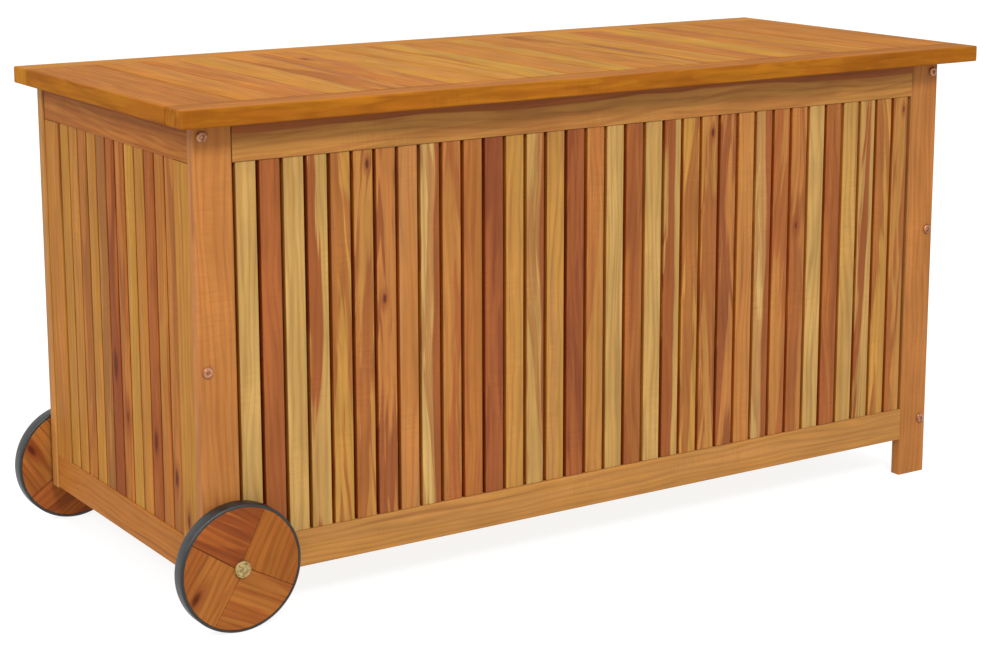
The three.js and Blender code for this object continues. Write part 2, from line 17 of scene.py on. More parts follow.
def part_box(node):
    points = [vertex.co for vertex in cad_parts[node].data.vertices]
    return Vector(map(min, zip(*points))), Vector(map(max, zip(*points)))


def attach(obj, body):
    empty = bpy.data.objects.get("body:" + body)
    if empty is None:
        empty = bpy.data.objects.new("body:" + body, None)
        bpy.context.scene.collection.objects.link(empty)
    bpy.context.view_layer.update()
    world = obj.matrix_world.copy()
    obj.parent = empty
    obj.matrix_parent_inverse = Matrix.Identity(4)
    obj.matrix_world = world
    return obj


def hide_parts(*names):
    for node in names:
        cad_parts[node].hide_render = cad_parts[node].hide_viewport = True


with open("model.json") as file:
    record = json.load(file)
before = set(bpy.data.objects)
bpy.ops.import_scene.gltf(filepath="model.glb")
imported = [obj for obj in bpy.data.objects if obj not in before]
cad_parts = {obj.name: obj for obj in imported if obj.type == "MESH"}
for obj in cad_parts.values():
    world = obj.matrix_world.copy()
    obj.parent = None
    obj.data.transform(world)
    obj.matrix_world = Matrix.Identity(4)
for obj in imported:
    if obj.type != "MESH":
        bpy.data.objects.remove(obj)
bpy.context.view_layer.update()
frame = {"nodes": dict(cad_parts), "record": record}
NODES = frame["nodes"]
BODY_OF = {
    node: body
    for body, members in frame["record"]["behaviour"]["bodies"].items()
    for node in members
}
MM = 0.001

# Tones of oiled hardwood, as sRGB.
TONES = {
    "cream": "bf9a5b",
    "straw": "b58c4d",
    "yellow": "b4823c",
    "honey": "b27b3c",
    "tan": "aa7642",
    "orange": "b17239",
    "amber": "a6672f",
    "orange_red": "a35e2f",
    "brown": "8a5630",
    "red_brown": "945329",
    "dark_red": "834526",
    "olive": "9a783f",
    "pine": "b0905c",
}
KNOT_TONE = "56281a"


def linear(tone):
    """The linear colour of a named tone or of an sRGB hex string."""
    text = TONES.get(tone, tone)
    parts = [int(text[i : i + 2], 16) / 255 for i in (0, 2, 4)]
    return [c / 12.92 if c <= 0.04045 else ((c + 0.055) / 1.055) ** 2.4 for c in parts] + [1.0]


# ---------- boards ----------
class Board:
    """How one board looks: its tones, its streaks, where a second tone takes over, and its knot."""

    def __init__(self, tone, second=None, streak=0.35, split=None, knot=None, seed=0.0):
        self.tone = linear(tone)
        self.second = linear(second or tone)
        self.streak = streak
        self.split = 1.0 if split is None else split * MM
        self.knot = (0.0, 9.0, 0.004) if knot is None else tuple(v * MM for v in knot)
        self.seed = seed

    def facts(self):
        return {
            "tone": ("FLOAT_COLOR", self.tone),
            "second_tone": ("FLOAT_COLOR", self.second),
            "figure": ("FLOAT_VECTOR", (self.streak, self.split, self.seed)),
            "knot": ("FLOAT_VECTOR", self.knot),
        }


def seeded(boards, first):
    """The same boards, each with a seed of its own."""
    for i, board in enumerate(boards):
        board.seed = first + 0.37 * i
    return boards


def write_facts(mesh, boards):
    """Stores each vertex's board on the mesh. boards has one entry per vertex, or one for all."""
    count = len(mesh.vertices)
    per_vertex = boards if len(boards) > 1 else boards * count
    for name, (kind, _) in boards[0].facts().items():
        values = [v for board in per_vertex for v in board.facts()[name][1]]
        made = mesh.attributes.new(name, kind, "POINT")
        made.data.foreach_set("color" if kind == "FLOAT_COLOR" else "vector", values)


def write_grain(mesh, places):
    made = mesh.attributes.new("grain", "FLOAT_VECTOR", "POINT")
    made.data.foreach_set("vector", [v for place in places for v in place])


def centre_of(mesh):
    lows = [min(v.co[i] for v in mesh.vertices) for i in range(3)]
    highs = [max(v.co[i] for v in mesh.vertices) for i in range(3)]
    return Vector([(a + b) / 2 for a, b in zip(lows, highs)])


def shown(name, mesh, material, body, nodes, smooth=None):
    """Adds a finished piece that rides on a body and stands for its CAD nodes."""
    mesh.materials.clear()
    mesh.materials.append(material)
    if smooth is not None:
        mesh.shade_smooth()
        mesh.set_sharp_from_angle(angle=math.radians(smooth))
    piece = bpy.data.objects.new(name, mesh)
    bpy.context.scene.collection.objects.link(piece)
    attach(piece, body)
    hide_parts(*nodes)
    return piece


def eased_copy(node, ease):
    """A copy of a CAD piece whose long outer edges are rounded over."""
    bm = bmesh.new()
    bm.from_mesh(NODES[node].data)
    bmesh.ops.remove_doubles(bm, verts=bm.verts, dist=2e-6)
    bmesh.ops.dissolve_limit(bm, angle_limit=math.radians(1), verts=bm.verts, edges=bm.edges)
    low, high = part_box(node)

    def outer_planes(vert):
        sides = set()
        for axis in range(3):
            if abs(vert.co[axis] - low[axis]) < 1e-5:
                sides.add((axis, 0))
            if abs(vert.co[axis] - high[axis]) < 1e-5:
                sides.add((axis, 1))
        return sides

    edges = [e for e in bm.edges if len(outer_planes(e.verts[0]) & outer_planes(e.verts[1])) >= 2]
    bmesh.ops.bevel(
        bm, geom=edges, offset=ease, segments=3, profile=0.5, affect="EDGES", clamp_overlap=True
    )
    mesh = bpy.data.meshes.new(node)
    bm.to_mesh(mesh)
    bm.free()
    return mesh


# The order of (width, thickness, length) axes of a board that lies a certain way.
UPRIGHT_FRONT = (0, 1, 2)
UPRIGHT_END = (1, 0, 2)
LONG_RAIL = (2, 1, 0)
END_RAIL = (2, 0, 1)
LID_LONG = (1, 2, 0)
LID_CROSS = (0, 2, 1)


# How far long edges are rounded over, in millimetres.
FRAME_EASE = 1.4
LID_EASE = 1.8
FLOOR_EASE = 1.0


def wooden(node, lie, board, ease, material):
    """Shows one wooden CAD piece as an eased, figured board."""
    mesh = eased_copy(node, ease * MM)
    middle = centre_of(mesh)
    write_grain(mesh, [[(v.co - middle)[axis] for axis in lie] for v in mesh.vertices])
    write_facts(mesh, [board])
    return shown(f"{node}_board", mesh, material, BODY_OF[node], [node])


# ---------- node helpers ----------
def feed(tree, socket, value):
    if isinstance(value, bpy.types.NodeSocket):
        tree.links.new(value, socket)
    else:
        socket.default_value = value


def added(tree, kind, values=(), out=0, **settings):
    """Adds a node with its settings and inputs (by place or by name) and returns one output."""
    node = tree.nodes.new(kind)
    for key, value in settings.items():
        setattr(node, key, value)
    pairs = values.items() if isinstance(values, dict) else enumerate(values)
    for key, value in pairs:
        if value is not None:
            feed(tree, node.inputs[key], value)
    return node.outputs[out]


def calc(tree, operation, *values):
    return added(tree, "ShaderNodeMath", values, operation=operation)


def ramped(tree, value, low, high, to_low=0.0, to_high=1.0):
    """A smooth step of a value from one range to another."""
    return added(
        tree,
        "ShaderNodeMapRange",
        (value, low, high, to_low, to_high),
        interpolation_type="SMOOTHSTEP",
    )


def mixed(tree, amount, first, second, blend="MIX"):
    return added(
        tree,
        "ShaderNodeMix",
        {0: amount, 6: first, 7: second},
        out=2,
        data_type="RGBA",
        blend_type=blend,
        clamp_factor=True,
    )


def noise(tree, vector, scale, detail=2.0, roughness=0.5):
    return added(
        tree,
        "ShaderNodeTexNoise",
        {"Vector": vector, "Scale": scale, "Detail": detail, "Roughness": roughness},
    )


def split_up(tree, vector):
    node = tree.nodes.new("ShaderNodeSeparateXYZ")
    feed(tree, node.inputs[0], vector)
    return node.outputs[0], node.outputs[1], node.outputs[2]


def stored(tree, name, out):
    return added(tree, "ShaderNodeAttribute", out=out, attribute_name=name)


# ---------- materials ----------
OIL_DEPTH = 0.72  # how far the oil darkens bare wood
# Painted shade on the slat side faces in the gaps: its tint and how soft its edge is.
GAP_SHADE_TINT = (1.0, 0.6, 0.28, 1.0)
GAP_SHADE_BLEND = 0.1 * MM
GUM_TONE = "6e3a1e"
RING_TONE = "7a3a20"
KNOT_RIM_TONE = "8a4426"
KNOT_STRETCH = 0.4  # a knot's width as a share of its length
SPLIT_BLEND = 2.8 * MM

# Noise cells per metre, across the grain and along it.
WANDER_CELLS = (14.0, 3.4)
BROAD_CELLS = (52.0, 4.2)
LINE_CELLS = (190.0, 3.6)
FIBRE_CELLS = (900.0, 22.0)
FLAME_CELLS = (34.0, 6.0)
CLOUD_CELLS = (30.0, 9.0)
RIPPLE_CELLS = (45.0, 330.0)
PATCH_CELLS = (25.0, 11.0)
GUM_CELLS = (130.0, 2.6)


def hardwood(name, gloss, lines_depth, ior, tone_and_shade_tint=(1.0, 1.0, 1.0), gap_shade_from=None):
    """Oiled hardwood. Grain, tones, streaks and knot come from what is stored on each board."""
    material = bpy.data.materials.new(name)
    material.use_nodes = True
    tree = material.node_tree
    shader = tree.nodes["Principled BSDF"]
    across, through, along = split_up(tree, stored(tree, "grain", "Vector"))
    streak, split, seed = split_up(tree, stored(tree, "figure", "Vector"))
    knot_across, knot_along, knot_size = split_up(tree, stored(tree, "knot", "Vector"))

    # Distance from the knot, in knot sizes, long along the grain.
    from_knot = calc(tree, "SUBTRACT", across, knot_across)
    side = calc(tree, "DIVIDE", from_knot, knot_size)
    stretch = calc(tree, "DIVIDE", calc(tree, "SUBTRACT", along, knot_along), knot_size)
    stretch = calc(tree, "MULTIPLY", stretch, KNOT_STRETCH)
    side_squared = calc(tree, "MULTIPLY", side, side)
    reach = calc(tree, "ADD", side_squared, calc(tree, "MULTIPLY", stretch, stretch))
    away = calc(tree, "SQRT", reach)
    near_knot = calc(tree, "EXPONENT", calc(tree, "MULTIPLY", reach, -0.12))

    def figured(wide, cells, detail, roughness=0.5, long=along):
        """Noise in the board's own grain space, shifted by its seed."""
        across_cells, along_cells = cells
        shifts = [calc(tree, "MULTIPLY", seed, turn) for turn in (7.3, 3.1, 5.7)]
        spot = added(
            tree,
            "ShaderNodeCombineXYZ",
            (
                calc(tree, "MULTIPLY_ADD", wide, across_cells, shifts[0]),
                calc(tree, "MULTIPLY_ADD", through, across_cells, shifts[1]),
                calc(tree, "MULTIPLY_ADD", long, along_cells, shifts[2]),
            ),
        )
        return noise(tree, spot, 1.0, detail, roughness)

    # The grain wanders along the board and parts around the knot.
    wander = figured(across, WANDER_CELLS, 2.0)
    wander = calc(tree, "MULTIPLY", calc(tree, "SUBTRACT", wander, 0.5), 0.03)
    parted = calc(tree, "MULTIPLY", from_knot, calc(tree, "MULTIPLY_ADD", near_knot, -0.7, 1.0))
    bent = calc(tree, "ADD", calc(tree, "ADD", parted, knot_across), wander)

    broad = figured(bent, BROAD_CELLS, 3.0, 0.55)
    lines = figured(bent, LINE_CELLS, 3.0, 0.6)
    fibre = figured(bent, FIBRE_CELLS, 2.0)
    ring_phase = calc(tree, "MULTIPLY_ADD", bent, 760.0, calc(tree, "MULTIPLY", broad, 16.0))
    ring = calc(tree, "MULTIPLY_ADD", calc(tree, "SINE", ring_phase), 0.5, 0.5)
    ring = calc(tree, "POWER", ring, 2.5)

    tone = stored(tree, "tone", "Color")
    second = stored(tree, "second_tone", "Color")
    # Flames: long pointed shapes of the second tone. Their tips lie on a line, set by the seed.
    tip_line = calc(tree, "MULTIPLY", calc(tree, "SINE", calc(tree, "MULTIPLY", seed, 9.7)), 0.011)
    slope = calc(tree, "ABSOLUTE", calc(tree, "SUBTRACT", bent, tip_line))
    leaned = calc(tree, "MULTIPLY_ADD", slope, 11.0, along)
    flame = figured(bent, FLAME_CELLS, 3.0, 0.6, long=leaned)
    flames = ramped(tree, flame, 0.485, 0.545)
    streaks = calc(tree, "MAXIMUM", ramped(tree, broad, 0.5, 0.58), flames)
    streaks = calc(tree, "MULTIPLY", streaks, streak)
    # The second tone takes over beyond the split, along a ragged edge.
    ragged_by = calc(tree, "MULTIPLY", calc(tree, "SUBTRACT", broad, 0.5), 0.012)
    edge = calc(tree, "ADD", calc(tree, "MULTIPLY_ADD", wander, 0.5, across), ragged_by)
    taken_over = ramped(tree, edge, split, calc(tree, "ADD", split, SPLIT_BLEND))
    color = mixed(tree, calc(tree, "MAXIMUM", streaks, taken_over), tone, second)
    cloud = figured(bent, CLOUD_CELLS, 3.0, 0.55)
    shade = calc(tree, "MULTIPLY_ADD", lines, 0.4, 0.8)
    shade = calc(tree, "MULTIPLY", shade, calc(tree, "MULTIPLY_ADD", cloud, 0.6, 0.7))
    # Short ripples across the grain, in patches.
    patch = ramped(tree, figured(across, PATCH_CELLS, 1.0), 0.5, 0.68)
    ripple = calc(tree, "SUBTRACT", figured(across, RIPPLE_CELLS, 1.0), 0.5)
    ripple = calc(tree, "MULTIPLY", ripple, calc(tree, "MULTIPLY", patch, 0.26))
    shade = calc(tree, "MULTIPLY", shade, calc(tree, "ADD", ripple, 1.0))
    shade = calc(tree, "MULTIPLY", shade, calc(tree, "MULTIPLY_ADD", fibre, 0.22, 0.89))
    ring_shade = calc(tree, "MULTIPLY_ADD", ring, -lines_depth, 1.0 + lines_depth * 0.35)
    shade = calc(tree, "MULTIPLY", shade, ring_shade)
    shade_color = added(tree, "ShaderNodeCombineColor", (shade, shade, shade))
    color = mixed(tree, 1.0, color, shade_color, "MULTIPLY")
    # Thin gum lines run a long way down the board.
    gum = ramped(tree, figured(bent, GUM_CELLS, 1.0), 0.64, 0.74)
    color = mixed(tree, calc(tree, "MULTIPLY", gum, 0.3), color, linear(GUM_TONE))
    # Dark lines are redder than the wood around them.
    redder = calc(tree, "MULTIPLY", ring, 0.1)
    color = mixed(tree, redder, color, linear(RING_TONE))
    # The knot: a dark heart in a redder rim, both ragged.
    ragged = calc(tree, "MULTIPLY_ADD", calc(tree, "SUBTRACT", lines, 0.5), 2.4, away)
    rim = ramped(tree, ragged, 3.4, 0.9)
    color = mixed(tree, calc(tree, "MULTIPLY", rim, 0.6), color, linear(KNOT_RIM_TONE))
    heart = ramped(tree, ragged, 1.3, 0.3)
    color = mixed(tree, calc(tree, "MULTIPLY", heart, 0.9), color, linear(KNOT_TONE))
    if gap_shade_from:
        # Painted shade: the side faces of the slats, which face each other across the narrow gaps, are
        # painted darker and redder for the shade in the gaps.
        to_edge = calc(tree, "ABSOLUTE", across)
        gap_shade = ramped(tree, to_edge, gap_shade_from - GAP_SHADE_BLEND, gap_shade_from)
        color = mixed(tree, gap_shade, color, GAP_SHADE_TINT, "MULTIPLY")
    # The oil darkens all wood alike. The tint on top of it is a change of tone for the wheels and painted
    # shade for the lid and the end panels.
    oil_tone_and_shade = (*(OIL_DEPTH * part for part in tone_and_shade_tint), 1.0)
    color = mixed(tree, 1.0, color, oil_tone_and_shade, "MULTIPLY")
    feed(tree, shader.inputs["Base Color"], color)

    rough = calc(tree, "MULTIPLY_ADD", lines, 0.16, gloss - 0.08)
    feed(tree, shader.inputs["Roughness"], rough)
    shader.inputs["IOR"].default_value = ior
    relief = calc(tree, "MULTIPLY_ADD", fibre, 0.6, calc(tree, "MULTIPLY", lines, 0.5))
    bump = added(tree, "ShaderNodeBump", {"Strength": 0.35, "Distance": 0.0004, "Height": relief})
    feed(tree, shader.inputs["Normal"], bump)
    return material


def object_place(tree, scale):
    vector = added(tree, "ShaderNodeTexCoord", out="Object")
    return added(tree, "ShaderNodeMapping", {"Vector": vector, "Scale": (scale, scale, scale)})


def worn_metal(name, bright, dull, rough, metallic):
    """Plated metal with a duller, patchy film."""
    material = bpy.data.materials.new(name)
    material.use_nodes = True
    tree = material.node_tree
    shader = tree.nodes["Principled BSDF"]
    patches = noise(tree, object_place(tree, 260.0), 1.0, 4.0, 0.6)
    scratches = noise(tree, object_place(tree, 1900.0), 1.0, 2.0)
    color = mixed(tree, ramped(tree, patches, 0.38, 0.66), linear(bright), linear(dull))
    feed(tree, shader.inputs["Base Color"], color)
    shader.inputs["Metallic"].default_value = metallic
    feed(tree, shader.inputs["Roughness"], calc(tree, "MULTIPLY_ADD", patches, 0.3, rough - 0.12))
    bump = added(tree, "ShaderNodeBump", {"Strength": 0.2, "Distance": 0.0001, "Height": scratches})
    feed(tree, shader.inputs["Normal"], bump)
    return material


def moulded_rubber(name):
    """Dark grey rubber with a fine tooth and a little dust."""
    material = bpy.data.materials.new(name)
    material.use_nodes = True
    tree = material.node_tree
    shader = tree.nodes["Principled BSDF"]
    tooth = noise(tree, object_place(tree, 1500.0), 1.0, 2.0)
    dust = noise(tree, object_place(tree, 60.0), 1.0, 4.0, 0.6)
    color = mixed(tree, ramped(tree, dust, 0.45, 0.75), linear("0e1011"), linear("1f2223"))
    feed(tree, shader.inputs["Base Color"], color)
    feed(tree, shader.inputs["Roughness"], calc(tree, "MULTIPLY_ADD", dust, 0.2, 0.34))
    bump = added(tree, "ShaderNodeBump", {"Strength": 0.4, "Distance": 0.0002, "Height": tooth})
    feed(tree, shader.inputs["Normal"], bump)
    return material


# Where the painted shade on the slats' gap faces begins.
GAP_SHADE_FROM = 12.2 * MM  # from the middle of a slat, just short of its edge
# Painted shade: the end panels get a darker, less blue copy of the frame and slat wood, against the white
# sheen that falls on them at a grazing angle.
END_SHADE_TINT = (0.98, 0.93, 0.74)
frame_wood = hardwood("oiled_frame_wood", 0.5, 0.1, 1.18)
slat_wood = hardwood("oiled_slat_wood", 0.5, 0.1, 1.18, gap_shade_from=GAP_SHADE_FROM)
# Painted shade: the lid gets a darker, much less blue copy of the wood, against the stronger light and
# white sheen on its top.
lid_wood = hardwood("oiled_lid_wood", 0.5, 0.12, 1.05, (0.95, 0.93, 0.36))
wheel_wood = hardwood("oiled_wheel_wood", 0.42, 0.14, 1.12, (0.85, 0.76, 0.62))
end_wood = hardwood("oiled_end_wood", 0.5, 0.1, 1.1, END_SHADE_TINT)
end_slat_wood = hardwood("oiled_end_slat_wood", 0.5, 0.1, 1.1, END_SHADE_TINT, gap_shade_from=GAP_SHADE_FROM)
floor_wood = hardwood("plain_floor_wood", 0.66, 0.1, 1.18)
antique_brass = worn_metal("antique_brass", "b7a06a", "7d6842", 0.46, 0.85)
bronze_plate = worn_metal("bronze_plate", "b5805f", "7a4f38", 0.46, 0.8)
zinc_plate = worn_metal("zinc_plate", "b3b4b0", "8c8d89", 0.42, 0.95)
tyre_rubber = moulded_rubber("tyre_rubber")


# ---------- rows of boards ----------
def group_input(group, name, kind, default=None):
    socket = group.interface.new_socket(name=name, in_out="INPUT", socket_type=kind)
    if default is not None:
        socket.default_value = default
    return socket.identifier


TONGUE_NARROWER = 0.8 * MM
EASE_STEPS = 3


def board_row_tree():
    """A board with rounded long edges and a tongue at both ends, set on every point."""
    group = bpy.data.node_groups.new("board_row", "GeometryNodeTree")
    ids = {"points": group_input(group, "Points", "NodeSocketGeometry")}
    for key, label, default in (
        ("width", "Board Width", 0.0235),
        ("thickness", "Board Thickness", 0.009),
        ("length", "Board Length", 0.44),
        ("ease", "Edge Ease", 0.001),
        ("tongue_length", "Tongue Length", 0.008),
        ("tongue_thickness", "Tongue Thickness", 0.005),
    ):
        ids[key] = group_input(group, label, "NodeSocketFloat", default)
    ids["material"] = group_input(group, "Wood", "NodeSocketMaterial")
    group.interface.new_socket(name="Boards", in_out="OUTPUT", socket_type="NodeSocketGeometry")
    given = group.nodes.new("NodeGroupInput")
    sizes = {name: given.outputs[i] for i, name in enumerate(ids)}

    section = added(
        group,
        "GeometryNodeCurvePrimitiveQuadrilateral",
        {"Width": sizes["width"], "Height": sizes["thickness"]},
    )
    rounded = group.nodes.new("GeometryNodeFilletCurve")
    if hasattr(rounded, "mode"):
        rounded.mode = "POLY"
    feed(group, rounded.inputs["Curve"], section)
    feed(group, rounded.inputs["Radius"], sizes["ease"])
    feed(group, rounded.inputs["Count"], EASE_STEPS)
    half = calc(group, "MULTIPLY", sizes["length"], 0.5)
    low = added(group, "ShaderNodeCombineXYZ", {"Z": calc(group, "MULTIPLY", half, -1.0)})
    high = added(group, "ShaderNodeCombineXYZ", {"Z": half})
    line = added(group, "GeometryNodeCurvePrimitiveLine", {"Start": low, "End": high})
    bar = added(
        group,
        "GeometryNodeCurveToMesh",
        {"Curve": line, "Profile Curve": rounded.outputs[0], "Fill Caps": True},
    )
    reach = calc(group, "MULTIPLY_ADD", sizes["tongue_length"], 2.0, sizes["length"])
    inner_width = calc(group, "SUBTRACT", sizes["width"], TONGUE_NARROWER)
    tongue_size = added(group, "ShaderNodeCombineXYZ", (inner_width, sizes["tongue_thickness"], reach))
    tongue = added(group, "GeometryNodeMeshCube", {"Size": tongue_size})
    joined = group.nodes.new("GeometryNodeJoinGeometry")
    group.links.new(bar, joined.inputs[0])
    group.links.new(tongue, joined.inputs[0])
    position = added(group, "GeometryNodeInputPosition")
    board = added(
        group,
        "GeometryNodeStoreNamedAttribute",
        {"Geometry": joined.outputs[0], "Name": "grain", "Value": position},
        data_type="FLOAT_VECTOR",
        domain="POINT",
    )
    spread = added(group, "GeometryNodeInputNamedAttribute", {"Name": "spread"}, data_type="FLOAT_VECTOR")
    set_out = added(
        group,
        "GeometryNodeInstanceOnPoints",
        {"Points": sizes["points"], "Instance": board, "Scale": spread},
    )
    real = added(group, "GeometryNodeRealizeInstances", {"Geometry": set_out})
    finished = added(group, "GeometryNodeSetMaterial", {"Geometry": real, "Material": sizes["material"]})
    given_back = group.nodes.new("NodeGroupOutput")
    group.links.new(finished, given_back.inputs[0])
    return group, ids


def points_mesh(name, places):
    mesh = bpy.data.meshes.new(name)
    mesh.from_pydata(places, [], [])
    return mesh


def grown(mesh, group, ids, values):
    """Runs a tree on a mesh and returns the plain mesh that comes out."""
    seed_object = bpy.data.objects.new(mesh.name, mesh)
    bpy.context.scene.collection.objects.link(seed_object)
    modifier = seed_object.modifiers.new("tree", "NODES")
    modifier.node_group = group
    for key, value in values.items():
        modifier[ids[key]] = value
    graph = bpy.context.evaluated_depsgraph_get()
    result = bpy.data.meshes.new_from_object(seed_object.evaluated_get(graph), depsgraph=graph)
    seed_object.modifiers.remove(modifier)
    bpy.data.objects.remove(seed_object)
    return result


ROW_TREE, ROW_IDS = board_row_tree()
WIDTH_VARIES = 0.02  # boards of a row differ in width by up to this share


def board_row(node, boards, starts, sizes, matrix, material):
    """Shows a row of boards. Their middles lie at starts along the row, in the row's own frame."""
    draw = random.Random(node)
    mesh = points_mesh(f"{node}_places", [(at, 0.0, 0.0) for at in starts])
    write_facts(mesh, boards)
    spread = mesh.attributes.new("spread", "FLOAT_VECTOR", "POINT")
    widths = [1.0 - draw.random() * WIDTH_VARIES for _ in starts]
    spread.data.foreach_set("vector", [v for width in widths for v in (width, 1.0, 1.0)])
    result = grown(mesh, ROW_TREE, ROW_IDS, {**sizes, "material": material})
    result.transform(matrix)
    return shown(f"{node}_boards", result, material, BODY_OF[node], [node])


# ---------- the lid, posts, rails and floor ----------
DRAWN_BOARDS = 40  # more than any row needs


def pick(names, seed, streak=0.35):
    """Boards of tones drawn from a list of names."""
    draw = random.Random(seed)
    return [
        Board(
            draw.choice(names),
            draw.choice(names),
            streak * draw.uniform(0.3, 1.6),
            seed=draw.uniform(0, 40),
        )
        for _ in range(DRAWN_BOARDS)
    ]


FRAME_BOARDS = {
    "front_left_post": (UPRIGHT_FRONT, Board("orange", "amber", 0.35, seed=3.1)),
    "back_left_post": (UPRIGHT_FRONT, Board("honey", "orange", 0.5, seed=4.7)),
    "front_right_leg": (UPRIGHT_FRONT, Board("orange", "amber", 0.5, seed=5.2)),
    "back_right_leg": (UPRIGHT_FRONT, Board("tan", "orange", 0.5, seed=6.9)),
    # Painted shadow and two-tone wood: the upper band of the front top rail takes the darker second tone,
    # partly as the board's own colour and partly for the shadow under the lid's overhang.
    "front_top_rail": (LONG_RAIL, Board("honey", "red_brown", 0.35, split=7, seed=7.4)),
    "front_bottom_rail": (LONG_RAIL, Board("honey", "tan", 0.4, seed=8.8)),
    "back_top_rail": (LONG_RAIL, Board("amber", "tan", 0.5, seed=9.3)),
    "back_bottom_rail": (LONG_RAIL, Board("tan", "brown", 0.5, seed=10.6)),
    # Painted shadow and two-tone wood: the upper band of the left top rail takes the darker second tone,
    # partly as the board's own colour and partly for the shadow under the lid's overhang.
    "left_top_rail": (END_RAIL, Board("orange", "red_brown", 0.5, split=9, seed=11.2)),
    "left_bottom_rail": (END_RAIL, Board("orange", "amber", 0.5, seed=12.5)),
    "right_top_rail": (END_RAIL, Board("amber", "brown", 0.5, seed=13.9)),
    "right_bottom_rail": (END_RAIL, Board("orange", "tan", 0.5, seed=14.1)),
    "left_front_stile": (UPRIGHT_END, Board("honey", "yellow", 0.9, knot=(5, -190, 4), seed=15.7)),
    "left_back_stile": (UPRIGHT_END, Board("honey", "orange", 0.8, seed=16.3)),
    "right_front_stile": (UPRIGHT_END, Board("orange", "tan", 0.5, seed=17.8)),
    "right_back_stile": (UPRIGHT_END, Board("honey", "amber", 0.5, seed=18.4)),
}
for node, (lie, board) in FRAME_BOARDS.items():
    wood = frame_wood if lie in (UPRIGHT_FRONT, LONG_RAIL) else end_wood
    wooden(node, lie, board, FRAME_EASE, wood)

LID_BOARDS = {
    "lid_front_rail": (LID_LONG, Board("amber", "red_brown", 0.6, seed=21.5)),
    "lid_back_rail": (LID_LONG, Board("orange", "honey", 0.4, seed=22.9)),
    "lid_left_end_board": (LID_CROSS, Board("amber", "red_brown", 0.5, seed=23.3)),
    "lid_right_end_board": (LID_CROSS, Board("amber", "orange", 0.6, seed=24.6)),
}
for node, (lie, board) in LID_BOARDS.items():
    wooden(node, lie, board, LID_EASE, lid_wood)

floor_boards = pick(["pine", "straw", "cream"], 5, 0.3)
FLOOR_NODES = [node for node in NODES if node.startswith("floor_board")]
FIRST_BEARER_BOARD = 6
for i, node in enumerate(sorted(FLOOR_NODES)):
    wooden(node, LID_LONG, floor_boards[i], FLOOR_EASE, floor_wood)
for i, name in enumerate(("left", "middle", "right"), FIRST_BEARER_BOARD):
    wooden(f"floor_bearer_{name}", LID_CROSS, floor_boards[i], FLOOR_EASE, floor_wood)

# ---------- slats ----------
SLAT_WIDTH = 24.5 * MM
SLAT_THICKNESS = 10 * MM
TONGUE_LENGTH = 8 * MM
TONGUE_THICKNESS = 5 * MM
TONGUE_ROOM = 0.3 * MM  # between a slat's shoulder and the rail
SLAT_EASE = 1.1 * MM

# From the left post to the right leg.
FRONT_SLATS = [
    Board("straw", "cream", 0.4),
    Board("red_brown", "orange_red", 0.5),
    Board("straw", "cream", 0.4),
    Board("red_brown", "straw", 0.9, split=0.5),
    Board("yellow", "red_brown", 0.75),
    Board("honey", "red_brown", 0.8, knot=(5, 195, 2.2)),
    Board("orange", "dark_red", 0.8, knot=(-3, 40, 2.4)),
    Board("orange", "tan", 0.6),
    Board("cream", "red_brown", 0.6, split=3.0),
    Board("orange_red", "honey", 0.7),
    Board("amber", "orange_red", 0.8),
    Board("dark_red", "orange_red", 0.5),
    Board("yellow", "honey", 0.6),
    Board("straw", "red_brown", 0.5, split=5.0),
    Board("yellow", "tan", 0.8),
    Board("red_brown", "dark_red", 0.9),
    Board("honey", "orange_red", 0.7),
    Board("straw", "cream", 0.5),
    Board("red_brown", "amber", 0.6),
    Board("straw", "cream", 0.4),
    Board("red_brown", "straw", 0.9, split=0.5),
    Board("yellow", "red_brown", 0.75),
    Board("honey", "red_brown", 0.8, knot=(4, 190, 2.2)),
    Board("orange", "dark_red", 0.8),
    Board("orange", "honey", 0.6),
    Board("cream", "red_brown", 0.5, split=3.0),
    Board("orange_red", "honey", 0.7),
    Board("orange", "red_brown", 0.8, knot=(-3, 60, 2.4)),
    Board("straw", "cream", 0.4),
    Board("red_brown", "amber", 0.6),
    Board("straw", "yellow", 0.4),
    Board("red_brown", "straw", 0.9, split=0.5),
    Board("yellow", "red_brown", 0.75),
    Board("honey", "red_brown", 0.8, knot=(5, 195, 2.2)),
]
# From the front stile to the back stile.
LEFT_SLATS = [
    Board("orange", "brown", 0.6, knot=(3, 150, 4)),
    Board("honey", "orange_red", 0.6),
    Board("orange_red", "red_brown", 0.8, knot=(2, 120, 8)),
    Board("honey", "orange", 0.6),
    Board("yellow", "straw", 0.5),
    Board("orange", "red_brown", 0.7, knot=(-2, 110, 5)),
    Board("orange_red", "dark_red", 0.8, knot=(2, 55, 7)),
    Board("tan", "brown", 0.6),
    Board("honey", "yellow", 0.6),
    Board("orange", "brown", 0.7),
    Board("honey", "tan", 0.6),
    Board("yellow", "tan", 0.6),
]
MIXED_TONES = ["straw", "honey", "orange", "orange_red", "red_brown", "yellow", "amber", "tan"]


